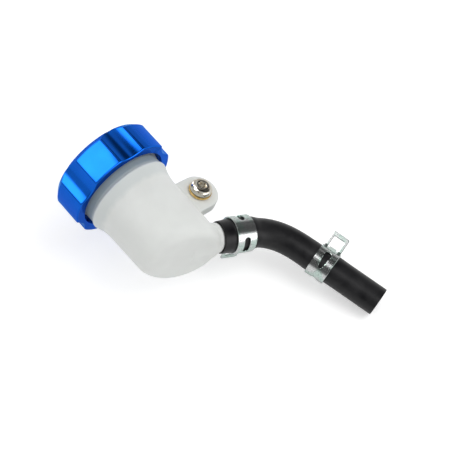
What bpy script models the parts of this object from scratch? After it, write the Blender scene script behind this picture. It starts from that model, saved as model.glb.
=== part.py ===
"""A remote brake fluid reservoir: body, screw cap, bellows, mounting screw, outlet hose and two band clamps.

Metres, +Z up. The world's origin is the middle of the ear's back face, on the axis of its screw. Inside the
part, sizes are counted in the reservoir's own frame: its upright axis is x = y = 0, z = 0 is the plane of the
cap's lower edge, and the ear and the outlet stand towards +X in the plane y = 0.
"""

import math

import bmesh
import bpy
from mathutils import Matrix, Vector

GAP = 0.0003  # between pieces that touch
TURN_SEGMENTS = 48
SMALL_SEGMENTS = 24
DIAPHRAGM_SEGMENTS = 32
EAR_STEPS = 20
CORNER_STEPS = 6
FOLD_STEPS = 4
CUT_THROUGH = 3.0  # a cutter's thickness, counted in the thickness of the plate that it passes

# Reservoir body, one moulding
NECK_RADIUS = 0.0184
NECK_WALL = 0.0024
NECK_ABOVE_EDGE = 0.0081  # the neck's rim above the cap's lower edge
NECK_BELOW_EDGE = 0.0036  # the stretch of neck that shows under the cap
SHOULDER_STEP = 0.0006  # how far the shoulder's rim stands outside the neck
SHOULDER_EDGE = 0.0008  # height of the shoulder's upright rim
SHOULDER_CHAMFER = 0.0002
NECK_CHAMFER = 0.0004
SHOULDER_HEIGHT = 0.0095  # from the shoulder's rim down to the straight wall
SHOULDER_INSET = 0.0019  # from the shoulder's rim in to the top of the straight wall
BODY_TAPER = 0.0004  # how much less the wall's radius is at the floor
BODY_WALL = 0.0018
BODY_DEPTH = 0.0406  # from the cap's lower edge to the outside of the floor, on the axis
FLOOR_SLOPE = math.radians(19)  # the floor and the outlet fall this way towards +X
FLOOR_ROUNDING = 0.0045

# Ear and what goes through it
EAR_STAND = 0.0099  # from the wall to the screw's axis
EAR_DROP = 0.0186  # from the cap's lower edge down to the screw's axis
EAR_RADIUS = 0.0084
EAR_THICKNESS = 0.0050
BUSH_FLANGE_RADIUS = 0.0050
BUSH_FLANGE_THICKNESS = 0.0010
BUSH_RADIUS = 0.0036
SCREW_RADIUS = 0.0025
SCREW_LENGTH = 0.0160
SCREW_CHAMFER = 0.0005
HEAD_RADIUS = 0.00475
HEAD_HEIGHT = 0.00275
HEAD_FLAT_RADIUS = 0.0021
DOME_SHARE = 0.8  # of the head's height; the rest is its upright rim
SOCKET_ACROSS_FLATS = 0.0030
SOCKET_DEPTH = 0.0016
WASHER_RADIUS = 0.0050
WASHER_THICKNESS = 0.0010
NUT_ACROSS_FLATS = 0.0080
NUT_THICKNESS = 0.0047

# Outlet
OUTLET_STAND = 0.0028  # from the wall to the hose's mouth
OUTLET_DROP = 0.0398  # from the cap's lower edge down to the middle of the hose's mouth
BOSS_ROOT_RADIUS = 0.0070
BOSS_END_RADIUS = 0.0062
BOSS_ROOT_INSIDE = 0.0070  # how far the boss starts behind the hose's mouth
NIPPLE_RADIUS = 0.0052
NIPPLE_LENGTH = 0.0140  # the stretch inside the hose
NIPPLE_BORE_RADIUS = 0.0034
NIPPLE_LEAD_IN = 0.0008

# Cap
CAP_WALL = 0.0047  # from the bore out to the lobes
CAP_HEIGHT = 0.0145
CAP_TOP_THICKNESS = 0.0025
CAP_WALL_CLEARANCE = 0.0009  # between the neck and the cap's bore, filled by the fine thread
CAP_CHAMFER = 0.0010
CAP_LOWER_CHAMFER = 0.0004
LOBE_COUNT = 6
LOBE_SHARE = 0.5  # of each pitch; the flute takes the rest
LOBE_TURN = math.radians(228.5)  # where one lobe's middle stands, from +X
FLUTE_DEPTH = 0.0020
STEPS_PER_LOBE = 12

# Diaphragm and its plate, under the cap's top
DIAPHRAGM_THICKNESS = 0.0012
DIAPHRAGM_OVERHANG = 0.0003  # how far its rim stays inside the neck's outside
DIAPHRAGM_CLEARANCE = 0.0006  # between its outer fold and the neck's bore
DIAPHRAGM_DEPTH = 0.0085
FOLD_COUNT = 2
FOLD_WIDTH = 0.0035
PLATE_CLEARANCE = 0.0005  # between the plate's rim and the cap's bore
PLATE_VENT_RADIUS = 0.0015
PLATE_RING_WIDTH = 0.0012
PLATE_RING_DEPTH = 0.0015

# Hose, in the plane y = 0. Its points count from the middle of its mouth, as (x, z).
HOSE_ROUTE = [
    (0.0000, 0.0000),
    (0.0047, -0.0016),
    (0.0094, -0.0032),
    (0.0141, -0.0050),
    (0.0185, -0.0073),
    (0.0224, -0.0105),
    (0.0255, -0.0144),
    (0.0278, -0.0188),
    (0.0295, -0.0235),
    (0.0309, -0.0283),
    (0.0323, -0.0331),
    (0.0337, -0.0379),
    (0.0351, -0.0427),
    (0.0365, -0.0475),
    (0.0379, -0.0523),
    (0.0393, -0.0571),
    (0.0402, -0.0602),
]
HOSE_RADIUS = 0.00625
HOSE_WALL = 0.0020
HOSE_STRETCHED_WALL = 0.0014  # over the nipple
HOSE_EASING = 0.0050  # the stretch in which it shrinks back past the nipple's end
HOSE_SIDES = 16
STEPS_PER_POINT = 2

# Band clamps
BAND_WIDTH = 0.0089
BAND_THICKNESS = 0.0007
SLOT_LENGTH = 0.0075
SLOT_WIDTH = 0.0026
SLOT_STEPS = 12
SLOT_END_WIDTH = 0.0004  # the flat left at each round end
LOOP_WIDTH = 0.0073
LOOP_HEIGHT = 0.0068
LOOP_LEG_WIDTH = 0.0013
LOOP_BAR_WIDTH = 0.0019
LOOP_SILL_WIDTH = 0.0012
TONGUE_WIDTH = 0.0032
TONGUE_HEIGHT = 0.0045
TONGUE_TURN = math.radians(65)  # round the hose, from the loop
# Angles round the hose count from the side that faces up and out, towards -Y.
INNER_CLAMP_AT = 0.0104  # along the hose, from its mouth
INNER_CLAMP_LOOP = math.radians(263)
INNER_CLAMP_SLOTS = (math.radians(-105), math.radians(-220))
OUTER_CLAMP_AT = 0.0500
OUTER_CLAMP_LOOP = math.radians(44)
OUTER_CLAMP_SLOTS = (math.radians(86), math.radians(200))

# What follows from them
NECK_BORE_RADIUS = NECK_RADIUS - NECK_WALL
SHOULDER_RADIUS = NECK_RADIUS + SHOULDER_STEP
BODY_TOP_RADIUS = SHOULDER_RADIUS - SHOULDER_INSET
BODY_BOTTOM_RADIUS = BODY_TOP_RADIUS - BODY_TAPER
CAP_BORE_RADIUS = NECK_RADIUS + CAP_WALL_CLEARANCE
CAP_RADIUS = CAP_BORE_RADIUS + CAP_WALL
CAP_CEILING = CAP_HEIGHT - CAP_TOP_THICKNESS
EAR_REACH = BODY_TOP_RADIUS + EAR_STAND  # from the reservoir's axis
EAR_HOLE_RADIUS = BUSH_RADIUS + GAP
BUSH_BORE_RADIUS = SCREW_RADIUS + GAP
MOUTH = Vector((BODY_BOTTOM_RADIUS + OUTLET_STAND, 0, -OUTLET_DROP))
OUTLET_DIRECTION = Vector((math.cos(FLOOR_SLOPE), 0, -math.sin(FLOOR_SLOPE)))


def clear_scene():
    for obj in list(bpy.data.objects):
        bpy.data.objects.remove(obj, do_unlink=True)


def material(name, colour, roughness, metallic=0.0, alpha=1.0):
    made = bpy.data.materials.new(name)
    made.use_nodes = True
    shader = made.node_tree.nodes["Principled BSDF"]
    shader.inputs["Base Color"].default_value = (*colour, 1.0)
    shader.inputs["Roughness"].default_value = roughness
    shader.inputs["Metallic"].default_value = metallic
    shader.inputs["Alpha"].default_value = alpha
    return made


def empty(name, place, parent=None):
    made = bpy.data.objects.new(name, None)
    made.location = place
    made.parent = parent
    bpy.context.collection.objects.link(made)
    return made


def mesh_object(name, bm, parent, finish=None):
    """One object from a bmesh, smooth apart from its real edges."""
    bmesh.ops.recalc_face_normals(bm, faces=bm.faces)
    mesh = bpy.data.meshes.new(name)
    bm.to_mesh(mesh)
    bm.free()
    mesh.shade_smooth()
    mesh.set_sharp_from_angle(angle=math.radians(32))
    if finish:
        mesh.materials.append(finish)
    made = bpy.data.objects.new(name, mesh)
    made.parent = parent
    bpy.context.collection.objects.link(made)
    return made


def cutter(name, bm, parent):
    made = mesh_object(name, bm, parent)
    made.hide_render = True
    made.display_type = "WIRE"
    return made


def combine(target, tool, operation):
    step = target.modifiers.new(tool.name, "BOOLEAN")
    step.operation = operation
    step.object = tool
    step.solver = "EXACT"
    tool.hide_render = True
    tool.display_type = "WIRE"


def ring(bm, points):
    return [bm.verts.new(point) for point in points]


def bridge(bm, first, second):
    """Quads between two rings of as many points."""
    count = len(first)
    for i in range(count):
        j = (i + 1) % count
        bm.faces.new((first[i], first[j], second[j], second[i]))


def lofted(rings, closed_ends=True):
    """A skin over rings of points: capped at both ends, or joined from the last ring to the first."""
    bm = bmesh.new()
    made = [ring(bm, points) for points in rings]
    for first, second in zip(made, made[1:]):
        bridge(bm, first, second)
    if closed_ends:
        bm.faces.new(made[0])
        bm.faces.new(made[-1])
    else:
        bridge(bm, made[-1], made[0])
    return bm


def circle(radius, height, segments=TURN_SEGMENTS, slope=0.0):
    """Points of a circle seen from above, whose plane falls by slope towards +X."""
    angles = [math.tau * i / segments for i in range(segments)]
    return [
        (radius * math.cos(a), radius * math.sin(a), height - slope * radius * math.cos(a))
        for a in angles
    ]


def turned(profile, segments=TURN_SEGMENTS, closed_ends=True):
    """A turned solid about Z from (radius, height) points."""
    return lofted([circle(r, z, segments) for r, z in profile], closed_ends)


def arc(centre, radius, start, end, steps):
    """Points (radius, height) round a centre, for turned profiles."""
    return [
        (
            centre[0] + radius * math.cos(start + (end - start) * i / steps),
            centre[1] + radius * math.sin(start + (end - start) * i / steps),
        )
        for i in range(steps + 1)
    ]


def along(direction):
    """The turn that takes +Z to a direction in the plane y = 0, and +Y to itself."""
    across = Vector((0, 1, 0))
    z_axis = direction.normalized()
    x_axis = across.cross(z_axis)
    return Matrix((x_axis, across, z_axis)).transposed().to_4x4()


def turned_towards(bm, place, turn):
    bmesh.ops.transform(bm, matrix=Matrix.Translation(place) @ turn, verts=bm.verts)
    return bm


# Reservoir body


def shoulder_points():
    """The shoulder's outside, from its rim down to the straight wall, as an easing curve."""
    top = -NECK_BELOW_EDGE - SHOULDER_EDGE
    drop = SHOULDER_HEIGHT - SHOULDER_EDGE
    flare = SHOULDER_RADIUS - BODY_TOP_RADIUS
    return [
        (BODY_TOP_RADIUS + flare * (1 - t) ** 2, top - drop * t)
        for t in (i / CORNER_STEPS for i in range(CORNER_STEPS + 1))
    ]


def floor_rings(radius, depth, rounding):
    """Rings from the upright wall round the corner onto the slanted floor."""
    slope = math.tan(FLOOR_SLOPE)
    wall_rings = [circle(radius, -depth + rounding, slope=slope)]
    for i in range(1, CORNER_STEPS + 1):
        a = math.pi / 2 * i / CORNER_STEPS
        wall_rings.append(
            circle(
                radius - rounding * (1 - math.cos(a)),
                -depth + rounding * (1 - math.sin(a)),
                slope=slope,
            )
        )
    return wall_rings


def body_outside():
    neck = [
        (NECK_RADIUS - NECK_CHAMFER, NECK_ABOVE_EDGE),
        (NECK_RADIUS, NECK_ABOVE_EDGE - NECK_CHAMFER),
        (NECK_RADIUS, -NECK_BELOW_EDGE),
        (SHOULDER_RADIUS - SHOULDER_CHAMFER, -NECK_BELOW_EDGE - SHOULDER_CHAMFER),
    ]
    rings = [circle(r, z) for r, z in neck + shoulder_points()]
    rings += floor_rings(BODY_BOTTOM_RADIUS, BODY_DEPTH, FLOOR_ROUNDING)
    return lofted(rings)


def chamber():
    """The hollow inside: the neck's bore, the shoulder and the wall, down to the slanted floor."""
    floor = BODY_DEPTH - BODY_WALL / math.cos(FLOOR_SLOPE)
    neck_end = -NECK_BELOW_EDGE - BODY_WALL
    rings = [
        circle(NECK_BORE_RADIUS, NECK_ABOVE_EDGE + BODY_WALL),
        circle(NECK_BORE_RADIUS, neck_end),
        circle(BODY_TOP_RADIUS - BODY_WALL, -NECK_BELOW_EDGE - SHOULDER_HEIGHT),
    ]
    rings += floor_rings(BODY_BOTTOM_RADIUS - BODY_WALL, floor, FLOOR_ROUNDING - BODY_WALL)
    return lofted(rings)


def ear_plate():
    """A plate with straight edges from the wall and a round end about the screw."""
    root = BODY_TOP_RADIUS - BODY_WALL / 2
    outline = [(root, EAR_RADIUS)]
    for i in range(EAR_STEPS + 1):
        a = math.pi / 2 - math.pi * i / EAR_STEPS
        outline.append((EAR_REACH + EAR_RADIUS * math.cos(a), EAR_RADIUS * math.sin(a)))
    outline.append((root, -EAR_RADIUS))
    sides = (-EAR_THICKNESS / 2, EAR_THICKNESS / 2)
    return lofted([[(x, y, z - EAR_DROP) for x, z in outline] for y in sides])


def outlet(profile):
    """A turned piece about the outlet's axis; heights count from the hose's mouth, outwards."""
    return turned_towards(turned(profile, SMALL_SEGMENTS), MOUTH, along(OUTLET_DIRECTION))


def make_body(parent, finish):
    body = mesh_object("reservoir_body", body_outside(), parent, finish)
    combine(body, cutter("ear_plate", ear_plate(), parent), "UNION")
    boss = [(BOSS_ROOT_RADIUS, -BOSS_ROOT_INSIDE), (BOSS_END_RADIUS, -GAP)]
    combine(body, cutter("outlet_boss", outlet(boss), parent), "UNION")
    nipple = [
        (NIPPLE_RADIUS, -BOSS_ROOT_INSIDE),
        (NIPPLE_RADIUS, NIPPLE_LENGTH - NIPPLE_LEAD_IN),
        (NIPPLE_RADIUS - NIPPLE_LEAD_IN, NIPPLE_LENGTH),
    ]
    combine(body, cutter("outlet_nipple", outlet(nipple), parent), "UNION")
    combine(body, cutter("chamber", chamber(), parent), "DIFFERENCE")
    bore = [(NIPPLE_BORE_RADIUS, -BOSS_ROOT_INSIDE), (NIPPLE_BORE_RADIUS, NIPPLE_LENGTH + GAP)]
    combine(body, cutter("outlet_bore", outlet(bore), parent), "DIFFERENCE")
    reach = CUT_THROUGH * EAR_THICKNESS / 2
    hole = turned([(EAR_HOLE_RADIUS, -reach), (EAR_HOLE_RADIUS, reach)], SMALL_SEGMENTS)
    towards_bracket = Matrix.Rotation(-math.pi / 2, 4, "X")
    hole = turned_towards(hole, Vector((EAR_REACH, 0, -EAR_DROP)), towards_bracket)
    combine(body, cutter("ear_hole", hole, parent), "DIFFERENCE")
    return body


# Cap, diaphragm and plate


def cap_outline(inset, height):
    """One ring of the fluted cap: lobes on the full radius, with shallow round flutes between."""
    steps = STEPS_PER_LOBE * LOBE_COUNT
    pitch = math.tau / LOBE_COUNT
    half_flute = (1 - LOBE_SHARE) / 2
    points = []
    for i in range(steps):
        share = (i / STEPS_PER_LOBE) % 1.0
        across = (share - 0.5) / half_flute
        depth = FLUTE_DEPTH * (1 - across * across) if abs(across) < 1 else 0.0
        radius = CAP_RADIUS - depth - inset
        a = LOBE_TURN + pitch * i / STEPS_PER_LOBE
        points.append((radius * math.cos(a), radius * math.sin(a), height))
    return points


def make_cap(parent, finish):
    levels = [
        (CAP_LOWER_CHAMFER, 0.0),
        (0.0, CAP_LOWER_CHAMFER),
        (0.0, CAP_HEIGHT - CAP_CHAMFER),
        (CAP_CHAMFER, CAP_HEIGHT),
    ]
    cap = mesh_object("cap", lofted([cap_outline(*level) for level in levels]), parent, finish)
    bore = [(CAP_BORE_RADIUS, -CAP_CHAMFER), (CAP_BORE_RADIUS, CAP_CEILING)]
    combine(cap, cutter("cap_bore", turned(bore), parent), "DIFFERENCE")
    return cap


def make_diaphragm(parent, finish):
    """A rubber bellows: a flat rim on the neck, and round folds that hang into the neck."""
    seat = NECK_ABOVE_EDGE + GAP + DIAPHRAGM_THICKNESS / 2
    half = DIAPHRAGM_THICKNESS / 2
    wall = NECK_BORE_RADIUS - DIAPHRAGM_CLEARANCE - half
    low = seat - DIAPHRAGM_DEPTH
    turn = FOLD_WIDTH / 2
    line = [(NECK_RADIUS - DIAPHRAGM_OVERHANG, seat), (wall, seat)]
    for i in range(FOLD_COUNT):
        outer = wall - 2 * FOLD_WIDTH * i
        line += arc((outer - turn, low + turn), turn, 0, -math.pi, FOLD_STEPS)
        if i < FOLD_COUNT - 1:
            line += arc((outer - 3 * turn, seat - FOLD_WIDTH), turn, 0, math.pi, FOLD_STEPS)
    inner = wall - (2 * FOLD_COUNT - 1) * FOLD_WIDTH
    line += [(inner, seat - FOLD_WIDTH), (inner - half, seat - FOLD_WIDTH + half)]
    bm = bmesh.new()
    rings = [ring(bm, circle(r, z, DIAPHRAGM_SEGMENTS)) for r, z in line]
    for first, second in zip(rings, rings[1:]):
        bridge(bm, first, second)
    bm.faces.new(rings[-1])
    made = mesh_object("diaphragm", bm, parent, finish)
    skin = made.modifiers.new("thickness", "SOLIDIFY")
    skin.thickness = DIAPHRAGM_THICKNESS
    skin.offset = 0.0
    skin.use_even_offset = True
    return made


def make_plate(parent, finish):
    low = NECK_ABOVE_EDGE + 2 * GAP + DIAPHRAGM_THICKNESS
    high = CAP_CEILING - GAP
    outer = CAP_BORE_RADIUS - PLATE_CLEARANCE
    ring_outer = NECK_BORE_RADIUS - 2 * DIAPHRAGM_CLEARANCE - DIAPHRAGM_THICKNESS
    profile = [
        (PLATE_VENT_RADIUS, high),
        (outer, high),
        (outer, low),
        (ring_outer, low),
        (ring_outer, low - PLATE_RING_DEPTH),
        (ring_outer - PLATE_RING_WIDTH, low - PLATE_RING_DEPTH),
        (ring_outer - PLATE_RING_WIDTH, low),
        (PLATE_VENT_RADIUS, low),
    ]
    return mesh_object("diaphragm_plate", turned(profile, closed_ends=False), parent, finish)


# What goes through the ear. Heights count along the screw, from under its head.


def screw_frame(parent):
    """Under the screw's head, turned so that its own +Z runs along the screw, towards +Y."""
    under_head = EAR_THICKNESS / 2 + BUSH_FLANGE_THICKNESS + 2 * GAP
    made = empty("screw_axis", (EAR_REACH, -under_head, -EAR_DROP), parent)
    made.rotation_euler = (-math.pi / 2, 0, 0)
    return made


def make_screw(parent, finish):
    dome = []
    for i in range(CORNER_STEPS + 1):
        a = math.pi / 2 * i / CORNER_STEPS
        radius = HEAD_FLAT_RADIUS + (HEAD_RADIUS - HEAD_FLAT_RADIUS) * math.sin(a)
        fall = DOME_SHARE * HEAD_HEIGHT * (1 - math.cos(a))
        dome.append((radius, fall - HEAD_HEIGHT))
    shank = [
        (HEAD_RADIUS, 0.0),
        (SCREW_RADIUS, 0.0),
        (SCREW_RADIUS, SCREW_LENGTH - SCREW_CHAMFER),
        (SCREW_RADIUS - SCREW_CHAMFER, SCREW_LENGTH),
    ]
    screw = mesh_object("mounting_screw", turned(dome + shank, SMALL_SEGMENTS), parent, finish)
    corner = SOCKET_ACROSS_FLATS / math.sqrt(3)
    socket = turned([(corner, -2 * HEAD_HEIGHT), (corner, SOCKET_DEPTH - HEAD_HEIGHT)], 6)
    combine(screw, cutter("screw_socket", socket, parent), "DIFFERENCE")
    return screw


def make_bush(parent, finish):
    flange_end = GAP + BUSH_FLANGE_THICKNESS
    profile = [
        (BUSH_BORE_RADIUS, GAP),
        (BUSH_FLANGE_RADIUS, GAP),
        (BUSH_FLANGE_RADIUS, flange_end),
        (BUSH_RADIUS, flange_end),
        (BUSH_RADIUS, flange_end + GAP + EAR_THICKNESS),
        (BUSH_BORE_RADIUS, flange_end + GAP + EAR_THICKNESS),
    ]
    return mesh_object("ear_bush", turned(profile, SMALL_SEGMENTS, False), parent, finish)


def make_washer(parent, finish):
    start = 3 * GAP + BUSH_FLANGE_THICKNESS + EAR_THICKNESS
    end = start + WASHER_THICKNESS
    profile = [
        (BUSH_BORE_RADIUS, start),
        (WASHER_RADIUS, start),
        (WASHER_RADIUS, end),
        (BUSH_BORE_RADIUS, end),
    ]
    return mesh_object("washer", turned(profile, SMALL_SEGMENTS, False), parent, finish)


def make_nut(parent, finish):
    start = 4 * GAP + BUSH_FLANGE_THICKNESS + EAR_THICKNESS + WASHER_THICKNESS
    end = start + NUT_THICKNESS
    corner = NUT_ACROSS_FLATS / math.sqrt(3)
    nut = mesh_object("nut", turned([(corner, start), (corner, end)], 6), parent, finish)
    bore = turned([(BUSH_BORE_RADIUS, start - GAP), (BUSH_BORE_RADIUS, end + GAP)], SMALL_SEGMENTS)
    combine(nut, cutter("nut_bore", bore, parent), "DIFFERENCE")
    return nut


# Hose and clamps


def between(p0, p1, p2, p3, t):
    """A point of the smooth curve through p1 and p2, which runs there as from p0 to p2 and from p1 to p3."""
    start = (p2 - p0) / 2
    end = (p3 - p1) / 2
    rise = p2 - p1
    return p1 + start * t + (3 * rise - 2 * start - end) * t**2 + (start + end - 2 * rise) * t**3


def hose_line():
    """The hose's middle line: places, directions and lengths from the mouth."""
    route = [MOUTH + Vector((x, 0, z)) for x, z in HOSE_ROUTE]
    ends = [2 * route[0] - route[1]] + route + [2 * route[-1] - route[-2]]
    places = []
    for i in range(len(route) - 1):
        for step in range(STEPS_PER_POINT):
            places.append(between(*ends[i : i + 4], step / STEPS_PER_POINT))
    places.append(route[-1])
    directions = []
    for i in range(len(places)):
        ahead = places[min(i + 1, len(places) - 1)]
        behind = places[max(i - 1, 0)]
        directions.append((ahead - behind).normalized())
    directions[0] = OUTLET_DIRECTION
    lengths = [0.0]
    for first, second in zip(places, places[1:]):
        lengths.append(lengths[-1] + (second - first).length)
    return places, directions, lengths


def eased(start, end, share):
    share = min(max(share, 0.0), 1.0)
    return start + (end - start) * share * share * (3 - 2 * share)


def hose_radii(length):
    """The outside and the bore at a length from the mouth: stretched over the nipple, then back to size."""
    share = (length - NIPPLE_LENGTH - GAP) / HOSE_EASING
    bore = eased(NIPPLE_RADIUS + GAP, HOSE_RADIUS - HOSE_WALL, share)
    outside = eased(NIPPLE_RADIUS + GAP + HOSE_STRETCHED_WALL, HOSE_RADIUS, share)
    return outside, bore


def section(place, direction, radius):
    x_axis = Vector((0, 1, 0)).cross(direction)
    y_axis = Vector((0, 1, 0))
    angles = [math.tau * i / HOSE_SIDES for i in range(HOSE_SIDES)]
    return [place + radius * (x_axis * math.cos(a) + y_axis * math.sin(a)) for a in angles]


def make_hose(parent, finish):
    places, directions, lengths = hose_line()
    outside = []
    bore = []
    for place, direction, length in zip(places, directions, lengths):
        outer_radius, bore_radius = hose_radii(length)
        outside.append(section(place, direction, outer_radius))
        bore.append(section(place, direction, bore_radius))
    return mesh_object("hose", lofted(outside + bore[::-1], False), parent, finish)


def at_length(wanted):
    """The place and direction of the hose's middle line at a length from its mouth."""
    places, directions, lengths = hose_line()
    for i in range(len(lengths) - 1):
        if lengths[i + 1] >= wanted:
            share = (wanted - lengths[i]) / (lengths[i + 1] - lengths[i])
            return places[i].lerp(places[i + 1], share), directions[i].lerp(directions[i + 1], share)
    return places[-1], directions[-1]


def slot_in_band(middle, radius):
    """A cutter for one round-ended slot: its length runs round the band."""
    half = SLOT_LENGTH / 2
    round_end = SLOT_WIDTH / 2
    rings = []
    for i in range(SLOT_STEPS + 1):
        position = -half * math.cos(math.pi * i / SLOT_STEPS)
        past = max(abs(position) - (half - round_end), 0.0)
        width = max(math.sqrt(max(round_end**2 - past**2, 0.0)), SLOT_END_WIDTH / 2)
        a = middle + position / radius
        inner = radius - CUT_THROUGH * BAND_THICKNESS / 2
        outer = radius + CUT_THROUGH * BAND_THICKNESS / 2
        corners = ((inner, -width), (outer, -width), (outer, width), (inner, width))
        rings.append([(r * math.cos(a), r * math.sin(a), z) for r, z in corners])
    return lofted(rings)


def standing_plate(angle, radius, height, width, thickness=BAND_THICKNESS):
    """A flat tab that stands out of the band."""
    bm = bmesh.new()
    bmesh.ops.create_cube(bm, size=1.0)
    size = Matrix.Diagonal((height, thickness, width, 1.0))
    place = Matrix.Translation((radius + height / 2, 0, 0))
    bmesh.ops.transform(bm, matrix=Matrix.Rotation(angle, 4, "Z") @ place @ size, verts=bm.verts)
    return bm


def make_clamp(name, at, loop_turn, slot_turns, parent, finish):
    """A spring band bent round the hose: slots round it, a squared loop and a narrow tongue standing out."""
    place, direction = at_length(at)
    axis = empty(name + "_axis", place, parent)
    # Its own +X is the side of the bend that faces up and out, and its own +Y is the part's -Y.
    x_axis = direction.cross(Vector((0, 1, 0))).normalized()
    side = Vector((0, -1, 0))
    axis.rotation_euler = Matrix((x_axis, side, x_axis.cross(side))).transposed().to_euler()
    band_bore = hose_radii(at - BAND_WIDTH / 2)[0] + GAP
    middle = band_bore + BAND_THICKNESS / 2
    half = BAND_WIDTH / 2
    profile = [
        (band_bore, -half),
        (band_bore + BAND_THICKNESS, -half),
        (band_bore + BAND_THICKNESS, half),
        (band_bore, half),
    ]
    clamp = mesh_object(name, turned(profile, closed_ends=False), axis, finish)
    loop = standing_plate(loop_turn, middle, LOOP_HEIGHT, LOOP_WIDTH)
    combine(clamp, cutter(name + "_loop", loop, axis), "UNION")
    window_height = LOOP_HEIGHT - LOOP_BAR_WIDTH - LOOP_SILL_WIDTH
    window_width = LOOP_WIDTH - 2 * LOOP_LEG_WIDTH
    window_foot = middle + LOOP_SILL_WIDTH
    window = standing_plate(
        loop_turn, window_foot, window_height, window_width, CUT_THROUGH * BAND_THICKNESS
    )
    combine(clamp, cutter(name + "_window", window, axis), "DIFFERENCE")
    towards_back = 1 if slot_turns[0] < 0 else -1
    tongue = standing_plate(
        loop_turn + towards_back * TONGUE_TURN, middle, TONGUE_HEIGHT, TONGUE_WIDTH
    )
    combine(clamp, cutter(name + "_tongue", tongue, axis), "UNION")
    for i, slot_turn in enumerate(slot_turns):
        slot = slot_in_band(loop_turn + slot_turn, middle)
        combine(clamp, cutter(f"{name}_slot_{i + 1}", slot, axis), "DIFFERENCE")
    return clamp


def main():
    clear_scene()
    blue = material("blue_anodised", (0.0, 0.13, 0.72), 0.28, 1.0)
    milky = material("milky_plastic", (0.80, 0.82, 0.81), 0.45, alpha=0.9)
    black_rubber = material("black_rubber", (0.03, 0.03, 0.032), 0.6)
    bellows_rubber = material("bellows_rubber", (0.05, 0.05, 0.05), 0.7)
    white_plastic = material("white_plastic", (0.75, 0.75, 0.73), 0.5)
    brass = material("brass", (0.78, 0.55, 0.22), 0.3, 1.0)
    bright_steel = material("bright_steel", (0.72, 0.70, 0.66), 0.15, 1.0)
    zinc = material("zinc_plate", (0.62, 0.68, 0.66), 0.35, 1.0)
    # The ear's back face is the plane y = 0 of the world, and the screw's axis passes through its origin.
    frame = empty("reservoir_axis", (-EAR_REACH, -EAR_THICKNESS / 2, EAR_DROP))
    make_body(frame, milky)
    make_cap(frame, blue)
    make_diaphragm(frame, bellows_rubber)
    make_plate(frame, white_plastic)
    screw_axis = screw_frame(frame)
    make_screw(screw_axis, bright_steel)
    make_bush(screw_axis, brass)
    make_washer(screw_axis, zinc)
    make_nut(screw_axis, zinc)
    make_hose(frame, black_rubber)
    make_clamp("inner_clamp", INNER_CLAMP_AT, INNER_CLAMP_LOOP, INNER_CLAMP_SLOTS, frame, zinc)
    make_clamp("outer_clamp", OUTER_CLAMP_AT, OUTER_CLAMP_LOOP, OUTER_CLAMP_SLOTS, frame, zinc)


main()
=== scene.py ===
"""A brake fluid reservoir with its screw cap, mounting screw, outlet hose and band clamps, on a white table.

Lengths are in metres. Pieces are shaped in the reservoir's own frame, whose upright axis is x = y = 0 and
whose z = 0 is the plane of the cap's lower edge, and are then put in their place in the row frame.
"""

import itertools
import math

import bmesh
import bpy
import numpy as np
from mathutils import Matrix, Vector


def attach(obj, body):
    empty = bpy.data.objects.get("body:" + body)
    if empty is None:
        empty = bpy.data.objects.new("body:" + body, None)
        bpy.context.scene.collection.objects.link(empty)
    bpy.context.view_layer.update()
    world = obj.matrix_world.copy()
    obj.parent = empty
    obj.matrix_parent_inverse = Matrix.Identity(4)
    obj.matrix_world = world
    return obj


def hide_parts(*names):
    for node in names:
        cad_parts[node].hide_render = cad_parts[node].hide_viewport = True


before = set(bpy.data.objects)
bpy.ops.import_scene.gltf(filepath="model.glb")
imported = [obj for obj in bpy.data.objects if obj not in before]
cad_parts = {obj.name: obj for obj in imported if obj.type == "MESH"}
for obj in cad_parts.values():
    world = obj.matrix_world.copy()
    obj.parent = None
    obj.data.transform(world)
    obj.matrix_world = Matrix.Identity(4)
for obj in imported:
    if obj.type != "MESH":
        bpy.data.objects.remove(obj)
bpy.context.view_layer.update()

# The reservoir frame's origin in the row frame
ROW = Vector((-0.0270, -0.0025, 0.0186))
GAP = 0.0003  # between pieces that touch
FINE_SEGMENTS = 96
SHARP = math.radians(34)  # edges that turn more than this aren't smoothed
WELD = 1e-6  # points nearer than this are one
CORNER_SHARE = 1 / 2.01  # of a side that the rounding at one end may take

# View and table
VIEW_BACK = Vector((-0.614, -0.732, -0.298)).normalized()
VIEW_UP = VIEW_BACK.cross(Vector((0.6931, -0.3177, -0.6474))).normalized()
VIEW_RIGHT = VIEW_UP.cross(VIEW_BACK)
VIEW_CENTRE = Vector((-0.00365, -0.00660, -0.01947))
VIEW_DISTANCE = 0.5
VIEW_LENS = 97.3
TABLE_UP = Vector((-0.35, -0.93, 0.10)).normalized()
TABLE_REACH = 2.0
TABLE_BELOW = 0.0002  # the lowest point of the object
TABLE_LIFT = 0.34
WORLD_LEVEL = 0.72
ROOM_LEVEL = 0.58
# What glossy surfaces mirror in the room. Each bright box has its direction as right, up and towards the
# viewer, the cosine of its edge, the cosine of where it is full, and its brightness. Each dark card has the
# first three.
SOFT_BOXES = (
    ((-0.50, 0.50, 0.70), 0.81, 0.86, 3.1),
    ((0.85, -0.35, 0.40), 0.82, 0.92, 1.6),
    ((-0.64, 0.71, -0.30), 0.95, 0.975, 3.0),
)
DARK_CARDS = (
    ((-0.50, -0.30, 0.82), 0.88, 0.94),
    ((0.30, 0.62, 0.72), 0.91, 0.95),
    ((-0.24, 0.04, 0.97), 0.965, 0.985),
    ((0.47, 0.88, 0.07), 0.965, 0.99),
    ((0.75, 0.49, 0.45), 0.86, 0.93),
)
CARD_SHARE = 0.85  # of the room's light that a card takes away
PAPER_CURVE = (0.05, 0.15)
PAPER_LEVEL = 0.80

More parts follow.
